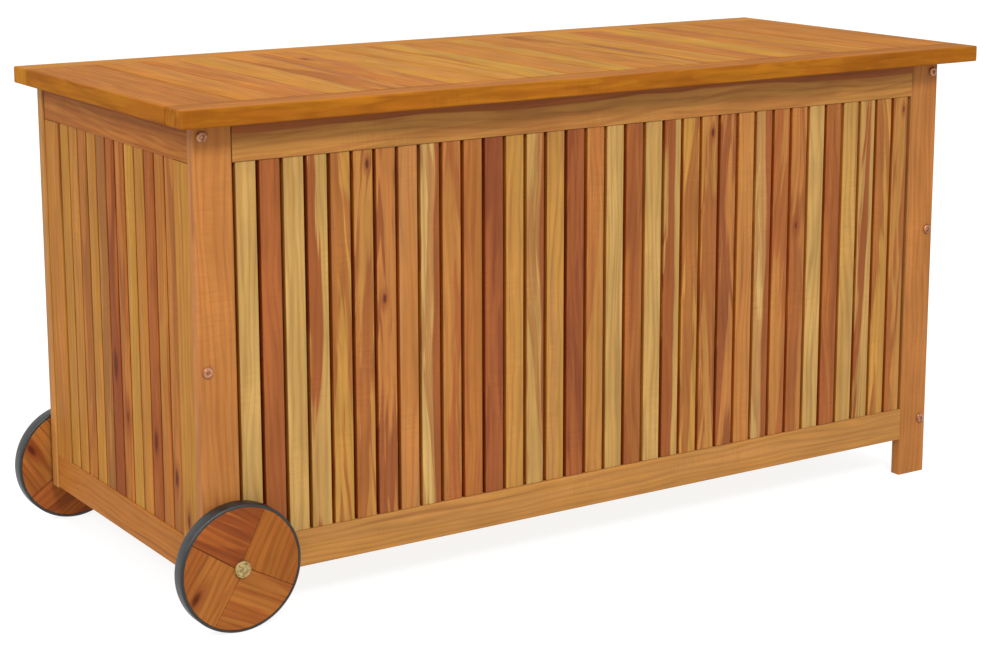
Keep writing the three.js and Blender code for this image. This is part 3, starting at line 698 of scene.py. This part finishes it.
def slat_row(node, boards, seed, along_y):
    """Shows a panel's slats, spread evenly over the CAD row. Those of an end panel run along Y."""
    low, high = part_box(node)
    axis = 1 if along_y else 0
    count = len(boards)
    first = low[axis] + SLAT_WIDTH / 2
    pitch = (high[axis] - low[axis] - SLAT_WIDTH) / (count - 1)
    middle = (low + high) / 2
    middle[axis] = 0.0
    swap = Matrix(((0, 1, 0, 0), (1, 0, 0, 0), (0, 0, -1, 0), (0, 0, 0, 1)))
    turn = swap if along_y else Matrix.Identity(4)
    wood = end_slat_wood if along_y else slat_wood
    sizes = {
        "width": SLAT_WIDTH,
        "thickness": SLAT_THICKNESS,
        "length": high.z - low.z - 2 * (TONGUE_LENGTH + TONGUE_ROOM),
        "ease": SLAT_EASE,
        "tongue_length": TONGUE_LENGTH,
        "tongue_thickness": TONGUE_THICKNESS,
    }
    starts = [first + i * pitch for i in range(count)]
    matrix = Matrix.Translation(middle) @ turn
    board_row(node, seeded(boards, seed), starts, sizes, matrix, wood)


slat_row("front_slats", FRONT_SLATS, 30.0, False)
slat_row("back_slats", pick(MIXED_TONES, 8, 0.6)[: len(FRONT_SLATS)], 60.0, False)
slat_row("left_slats", LEFT_SLATS, 90.0, True)
slat_row("right_slats", pick(MIXED_TONES, 9, 0.6)[: len(LEFT_SLATS)], 110.0, True)

# ---------- cross boards of the lid ----------
lid_low, lid_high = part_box("lid_boards")
# From the wheel end to the leg end.
LID_CROSS_BOARDS = [
    Board("orange", "amber", 0.7),
    Board("orange", "orange_red", 0.8),
    Board("honey", "orange", 0.8),
    Board("orange", "red_brown", 0.8),
    Board("orange", "orange_red", 0.8, knot=(0, -110, 5)),
    Board("honey", "orange", 0.8),
    Board("amber", "honey", 0.9),
    Board("yellow", "orange_red", 0.8),
    Board("orange", "amber", 0.7),
    Board("yellow", "amber", 0.9),
    Board("amber", "orange", 0.7),
    Board("honey", "red_brown", 0.8),
    Board("orange", "yellow", 0.8),
    Board("orange_red", "orange", 0.7),
    Board("yellow", "orange", 0.8),
    Board("orange", "red_brown", 0.8),
    Board("honey", "amber", 0.8),
    Board("orange", "orange_red", 0.7),
]
LID_SEAM = 0.15 * MM
LID_BOARD_EASE = 0.35 * MM
LID_TONGUE = 8.3 * MM
LID_TONGUE_THICKNESS = 6 * MM
lid_pitch = (lid_high.x - lid_low.x) / len(LID_CROSS_BOARDS)
lid_middle = (0, (lid_low.y + lid_high.y) / 2, (lid_low.z + lid_high.z) / 2)
board_row(
    "lid_boards",
    seeded(LID_CROSS_BOARDS, 130.0),
    [lid_low.x + (i + 0.5) * lid_pitch for i in range(len(LID_CROSS_BOARDS))],
    {
        "width": lid_pitch - LID_SEAM,
        "thickness": lid_high.z - lid_low.z,
        "length": lid_high.y - lid_low.y - 2 * LID_TONGUE,
        "ease": LID_BOARD_EASE,
        "tongue_length": LID_TONGUE,
        "tongue_thickness": LID_TONGUE_THICKNESS,
    },
    Matrix.Translation(lid_middle) @ Matrix.Rotation(math.radians(90), 4, "X"),
    lid_wood,
)


# ---------- turned pieces ----------
def turned(name, profile, segments=128):
    """A closed turned mesh about the Z axis from [radius, height] pairs that start and end on the axis,
    or from a closed ring of pairs for a band."""
    bm = bmesh.new()
    band = profile[0][0] > 0
    rings = []
    for radius, height in profile:
        if radius == 0:
            rings.append([bm.verts.new((0, 0, height))] * segments)
            continue
        angles = [2 * math.pi * i / segments for i in range(segments)]
        rings.append([bm.verts.new((radius * math.cos(a), radius * math.sin(a), height)) for a in angles])
    if band:
        rings.append(rings[0])
    for lower, upper in zip(rings, rings[1:]):
        for i in range(segments):
            j = (i + 1) % segments
            corners = list(dict.fromkeys([lower[i], lower[j], upper[j], upper[i]]))
            if len(corners) > 2:
                bm.faces.new(corners)
    bmesh.ops.recalc_face_normals(bm, faces=bm.faces)
    mesh = bpy.data.meshes.new(name)
    bm.to_mesh(mesh)
    bm.free()
    return mesh


def facing(side):
    """Turns a piece made about +Z so that +Z points out of the front (-1) or the back (+1)."""
    return Matrix.Rotation(math.radians(90 if side < 0 else -90), 4, "X")


def rounded_corner(radius, height, ease, up):
    """Two points that round over a corner of a turned profile."""
    sign = 1 if up else -1
    steps = [math.radians(a) for a in (0, 30, 60, 90)]
    inset_radius, inset_height = radius - ease, height - sign * ease
    return [
        (inset_radius + ease * math.cos(a), inset_height + sign * ease * math.sin(a))
        for a in (steps if up else reversed(steps))
    ]


WHEEL_QUARTERS = [
    Board("orange_red", "dark_red", 0.8, seed=71.0),
    Board("orange", "red_brown", 0.7, knot=(35, 50, 4), seed=72.7),
    Board("orange", "orange_red", 0.8, seed=74.1),
    Board("amber", "orange_red", 0.7, seed=75.9),
]
SEAM_HALF = 0.3 * MM
SEAM_TURNS = (63.0, 145.0, 238.0, 331.0)  # degrees
PINWHEEL_OFFSET = 3.0 * MM
AXLE_BORE = 4.3 * MM
DISC_EASE = 1.0 * MM
TYRE_EASE = 2.0 * MM
TYRE_ROOM = 0.1 * MM  # between the disc and the tyre
AXLE_RADIUS = 4.0 * MM
AXLE_HEAD_HEIGHT = 3.2 * MM
ROUND_SIDES = 64


def quarter_of(disc, turn, next_turn):
    """The part of a disc between two seams, and its grain, which runs along the second seam."""
    bm = bmesh.new()
    bm.from_mesh(disc)
    along = Vector((math.cos(turn), math.sin(turn), 0))
    across = Vector((-math.sin(turn), math.cos(turn), 0))
    back_side = Vector((math.sin(next_turn), -math.cos(next_turn), 0))
    for normal, offset in ((across, PINWHEEL_OFFSET), (back_side, -PINWHEEL_OFFSET)):
        geometry = list(bm.verts) + list(bm.edges) + list(bm.faces)
        spot = normal * (SEAM_HALF + offset)
        cut = bmesh.ops.bisect_plane(bm, geom=geometry, plane_co=spot, plane_no=normal, clear_inner=True)
        edges = [e for e in cut["geom_cut"] if isinstance(e, bmesh.types.BMEdge)]
        bmesh.ops.edgenet_fill(bm, edges=edges)
    bmesh.ops.recalc_face_normals(bm, faces=bm.faces)
    mesh = bpy.data.meshes.new("quarter")
    bm.to_mesh(mesh)
    bm.free()
    next_along = Vector((math.cos(next_turn), math.sin(next_turn), 0))
    write_grain(mesh, [(v.co.dot(back_side), v.co.z, v.co.dot(next_along)) for v in mesh.vertices])
    return mesh


def joined_mesh(name, meshes):
    """One mesh out of several, with their stored facts."""
    objects = [bpy.data.objects.new("part", mesh) for mesh in meshes]
    for one in objects:
        bpy.context.scene.collection.objects.link(one)
    with bpy.context.temp_override(active_object=objects[0], selected_editable_objects=objects):
        bpy.ops.object.join()
    mesh = objects[0].data
    mesh.name = name
    bpy.data.objects.remove(objects[0])
    return mesh


for panel, side in (("front", -1), ("back", 1)):
    disc_low, disc_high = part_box(f"{panel}_wheel_disc")
    hub = (disc_low + disc_high) / 2
    disc_radius = (disc_high.z - disc_low.z) / 2
    half = (disc_high.y - disc_low.y) / 2
    outline = [(AXLE_BORE, -half), *rounded_corner(disc_radius, -half, DISC_EASE, False)]
    outline += [*rounded_corner(disc_radius, half, DISC_EASE, True), (AXLE_BORE, half)]
    disc = turned("disc", outline)
    quarters = []
    for i, board in enumerate(WHEEL_QUARTERS):
        turn, next_turn = (math.radians(SEAM_TURNS[(i + j) % 4]) for j in (0, 1))
        quarter = quarter_of(disc, turn, next_turn)
        write_facts(quarter, [board])
        quarters.append(quarter)
    wheel = joined_mesh(f"{panel}_wheel_quarters", quarters)
    wheel.transform(Matrix.Translation(hub) @ facing(side))
    body = f"{panel}_wheel"
    shown(f"{body}_quarters", wheel, wheel_wood, body, [f"{body}_disc"], smooth=40)

    tyre_low, tyre_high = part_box(f"{panel}_wheel_tyre")
    tyre_radius = (tyre_high.z - tyre_low.z) / 2
    tyre_half = (tyre_high.y - tyre_low.y) / 2
    inner = disc_radius + TYRE_ROOM
    outline = [(inner, -tyre_half), *rounded_corner(tyre_radius, -tyre_half, TYRE_EASE, False)]
    outline += [*rounded_corner(tyre_radius, tyre_half, TYRE_EASE, True), (inner, tyre_half)]
    tyre = turned("tyre", outline)
    tyre.transform(Matrix.Translation(hub) @ facing(side))
    shown(f"{panel}_tyre_band", tyre, tyre_rubber, body, [f"{body}_tyre"], smooth=40)

    bolt_low, bolt_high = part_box(f"{panel}_axle_bolt")
    tip, top = (bolt_high.y, bolt_low.y) if side < 0 else (bolt_low.y, bolt_high.y)
    length = abs(top - tip)
    head_radius = (bolt_high.z - bolt_low.z) / 2
    head_start = length - AXLE_HEAD_HEIGHT
    # The head has a rolled rim around a low dome.
    profile = [
        (0, 0),
        (AXLE_RADIUS - 0.6 * MM, 0),
        (AXLE_RADIUS, 0.6 * MM),
        (AXLE_RADIUS, head_start),
        (head_radius - 0.4 * MM, head_start),
        (head_radius, head_start + 0.4 * MM),
        (head_radius, length - 0.7 * MM),
        (head_radius - 0.3 * MM, length - 0.2 * MM),
        (head_radius - 0.9 * MM, length),
        (head_radius - 1.6 * MM, length - 0.2 * MM),
        (head_radius - 2.0 * MM, length - 0.9 * MM),
        (head_radius * 0.45, length - 0.6 * MM),
        (0, length - 0.5 * MM),
    ]
    axle = turned("axle", profile, ROUND_SIDES)
    axle.transform(Matrix.Translation((hub.x, tip, hub.z)) @ facing(side))
    shown(f"{panel}_axle", axle, antique_brass, "box_body", [f"{panel}_axle_bolt"], smooth=40)


# ---------- fasteners ----------
def fastener_tree():
    """Sets one fastener on every point, turned as the point says."""
    group = bpy.data.node_groups.new("fastener_row", "GeometryNodeTree")
    ids = {"points": group_input(group, "Points", "NodeSocketGeometry")}
    ids["fastener"] = group_input(group, "Fastener", "NodeSocketObject")
    ids["scale"] = group_input(group, "Scale", "NodeSocketFloat", 1.0)
    ids["material"] = group_input(group, "Metal", "NodeSocketMaterial")
    group.interface.new_socket(name="Fasteners", in_out="OUTPUT", socket_type="NodeSocketGeometry")
    given = group.nodes.new("NodeGroupInput")
    parts = {name: given.outputs[i] for i, name in enumerate(ids)}
    source = added(group, "GeometryNodeObjectInfo", {"Object": parts["fastener"]}, out="Geometry")
    turn = added(group, "GeometryNodeInputNamedAttribute", {"Name": "turn"}, data_type="FLOAT_VECTOR")
    rotation = added(group, "FunctionNodeEulerToRotation", (turn,))
    set_out = added(
        group,
        "GeometryNodeInstanceOnPoints",
        {"Points": parts["points"], "Instance": source, "Rotation": rotation, "Scale": parts["scale"]},
    )
    real = added(group, "GeometryNodeRealizeInstances", {"Geometry": set_out})
    finished = added(group, "GeometryNodeSetMaterial", {"Geometry": real, "Material": parts["material"]})
    given_back = group.nodes.new("NodeGroupOutput")
    group.links.new(finished, given_back.inputs[0])
    return group, ids


FASTENER_TREE, FASTENER_IDS = fastener_tree()


def fasteners(name, source_mesh, places, turns, material, body, nodes):
    """Shows a set of equal fasteners as one piece."""
    source = bpy.data.objects.new(f"{name}_source", source_mesh)
    bpy.context.scene.collection.objects.link(source)
    mesh = points_mesh(f"{name}_places", places)
    turn = mesh.attributes.new("turn", "FLOAT_VECTOR", "POINT")
    turn.data.foreach_set("vector", [v for one in turns for v in one])
    values = {"fastener": source, "scale": 1.0, "material": material}
    result = grown(mesh, FASTENER_TREE, FASTENER_IDS, values)
    bpy.data.objects.remove(source)
    return shown(name, result, material, body, nodes, smooth=35)


def socketed(mesh, floor, rim, outline):
    """Presses the round socket in a fastener's head into another outline."""
    for vert in mesh.vertices:
        reach = math.hypot(vert.co.x, vert.co.y)
        if vert.co.z > floor and 0 < reach < rim:
            factor = outline(math.atan2(vert.co.y, vert.co.x))
            vert.co.x *= factor
            vert.co.y *= factor
    return mesh


def hexagon(angle):
    """How far a six-sided outline reaches towards an angle, as a share of the corner's reach."""
    corner = math.radians(60)
    return math.cos(corner / 2) / math.cos(angle % corner - corner / 2)


def cross(angle):
    """How far a cross slot reaches towards an angle, as a share of an arm's reach."""
    arm, notch = 1.0, 0.42
    return arm if abs(math.sin(2 * angle)) < 0.3 else notch


def socket_bolt(length):
    """A bolt with a low chamfered head and a six-sided socket, tip at the origin, head along +Z."""
    head, rim = 2.4 * MM, 6.3 * MM
    profile = [
        (0, 0),
        (2.5 * MM, 0),
        (3 * MM, 0.6 * MM),
        (3 * MM, length - head),
        (rim - 0.3 * MM, length - head),
        (rim, length - head + 0.3 * MM),
        (rim, length - head * 0.55),
        (rim * 0.93, length - head * 0.2),
        (rim * 0.8, length),
        (3.2 * MM, length),
        (2.6 * MM, length - 0.3 * MM),
        (2.4 * MM, length - 1.6 * MM),
        (0, length - 1.6 * MM),
    ]
    return socketed(turned("socket_bolt", profile, 30), length - 2 * MM, 2.7 * MM, hexagon)


def countersunk_screw(length):
    """A small screw with a flat cross-slotted head, its tip at the origin, head along +Z."""
    profile = [
        (0, 0),
        (0.8 * MM, 1.5 * MM),
        (1.1 * MM, 3 * MM),
        (1.1 * MM, length - 1.8 * MM),
        (2.9 * MM, length - 0.1 * MM),
        (2.8 * MM, length),
        (1.6 * MM, length),
        (1.2 * MM, length - 0.7 * MM),
        (0, length - 0.8 * MM),
    ]
    return socketed(turned("countersunk_screw", profile, 24), length - 0.75 * MM, 1.7 * MM, cross)


bolt_nodes = [
    f"{panel}_{end}_{level}_bolt"
    for panel in ("front", "back")
    for end in ("left", "right")
    for level in ("top", "middle", "bottom")
]
bolt_places, bolt_turns = [], []
for node in bolt_nodes:
    low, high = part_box(node)
    front = node.startswith("front")
    tip = high.y if front else low.y
    bolt_places.append(((low.x + high.x) / 2, tip, (low.z + high.z) / 2))
    bolt_turns.append((math.radians(90 if front else -90), 0.0, 0.0))
bolt_low, bolt_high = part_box(bolt_nodes[0])
bolt = socket_bolt(bolt_high.y - bolt_low.y)
fasteners("panel_bolts", bolt, bolt_places, bolt_turns, bronze_plate, "box_body", bolt_nodes)

# Six screws hold each hinge: three in the leaf on the rail, three in the leaf under the lid.
HINGE_SCREW_LENGTH = 14 * MM
HINGE_SCREW_SPREAD = 21 * MM
SCREW_PROUD = 0.06 * MM
LEAF_GAP = 0.3 * MM
for leaf, body, up in (("fixed", "box_body", True), ("lid", "lid", False)):
    screw_places = []
    for end in ("left", "right"):
        low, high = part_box(f"{end}_hinge_{leaf}_leaf")
        wood_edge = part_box("back_top_rail" if up else "lid_back_rail")[1].y
        seat = (low.y + wood_edge) / 2
        pin_low, pin_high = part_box(f"{end}_hinge_pin")
        sign = 1 if up else -1
        sunk = LEAF_GAP / 2 - SCREW_PROUD + HINGE_SCREW_LENGTH
        tip = (pin_low.z + pin_high.z) / 2 - sign * sunk
        middle = (low.x + high.x) / 2
        screw_places += [(middle + step * HINGE_SCREW_SPREAD, seat, tip) for step in (-1, 0, 1)]
    turns = [(0.0 if up else math.pi, 0.0, 0.0)] * len(screw_places)
    screw = countersunk_screw(HINGE_SCREW_LENGTH)
    fasteners(f"hinge_screws_{leaf}", screw, screw_places, turns, antique_brass, body, [])

# The CAD pieces that stay as they are get their metal.
for node in NODES:
    if "spacer" in node or "nut" in node:
        NODES[node].data.materials.clear()
        NODES[node].data.materials.append(zinc_plate)
    if "hinge" in node:
        NODES[node].data.materials.clear()
        NODES[node].data.materials.append(antique_brass)

# ---------- floor, lights and camera ----------
floor = bpy.data.objects.new("studio_floor", bpy.data.meshes.new("studio_floor"))
FLOOR_HALF = 14.0
signs = ((-1, -1), (1, -1), (1, 1), (-1, 1))
corners = [(FLOOR_HALF * x, FLOOR_HALF * y, 0) for x, y in signs]
floor.data.from_pydata(corners, [], [(0, 1, 2, 3)])
floor_paint = bpy.data.materials.new("studio_floor_paint")
floor_paint.use_nodes = True
paint = floor_paint.node_tree.nodes["Principled BSDF"]
paint.inputs["Base Color"].default_value = (0.16, 0.16, 0.16, 1)
paint.inputs["Roughness"].default_value = 0.9
paint.inputs["Emission Color"].default_value = (1, 1, 1, 1)
paint.inputs["Emission Strength"].default_value = 0.86
floor.data.materials.append(floor_paint)
bpy.context.scene.collection.objects.link(floor)

world = bpy.data.worlds.new("studio_air")
world.use_nodes = True
world.node_tree.nodes["Background"].inputs["Color"].default_value = (1, 1, 1, 1)
world.node_tree.nodes["Background"].inputs["Strength"].default_value = 1.05
bpy.context.scene.world = world
bpy.context.scene.view_settings.view_transform = "Standard"


def soft_light(name, place, aim, size, power):
    """A square soft light turned towards a point."""
    data = bpy.data.lights.new(name, "AREA")
    data.shape = "SQUARE"
    data.size = size
    data.energy = power
    lamp = bpy.data.objects.new(name, data)
    lamp.location = place
    lamp.rotation_euler = (Vector(aim) - Vector(place)).to_track_quat("-Z", "Y").to_euler()
    bpy.context.scene.collection.objects.link(lamp)


soft_light("key_light", (-0.9, -3.0, 2.8), (0, -0.1, 0.4), 0.8, 110)
soft_light("side_light", (-3.1, -0.5, 2.6), (-0.2, 0, 0.3), 1.0, 62)
soft_light("back_light", (1.2, 2.6, 3.2), (0, 0, 0.3), 2.4, 60)

camera = bpy.data.objects.new("camera", bpy.data.cameras.new("camera"))
camera.location = (-1.485, -2.272, 0.883)
camera.rotation_euler = Euler((math.radians(90 - 11.0), 0, math.radians(56.59 - 90)))
camera.data.sensor_width = 36
camera.data.lens = 79.1
camera.data.shift_x = -0.0206
camera.data.shift_y = -0.10
bpy.context.scene.collection.objects.link(camera)
bpy.context.scene.camera = camera
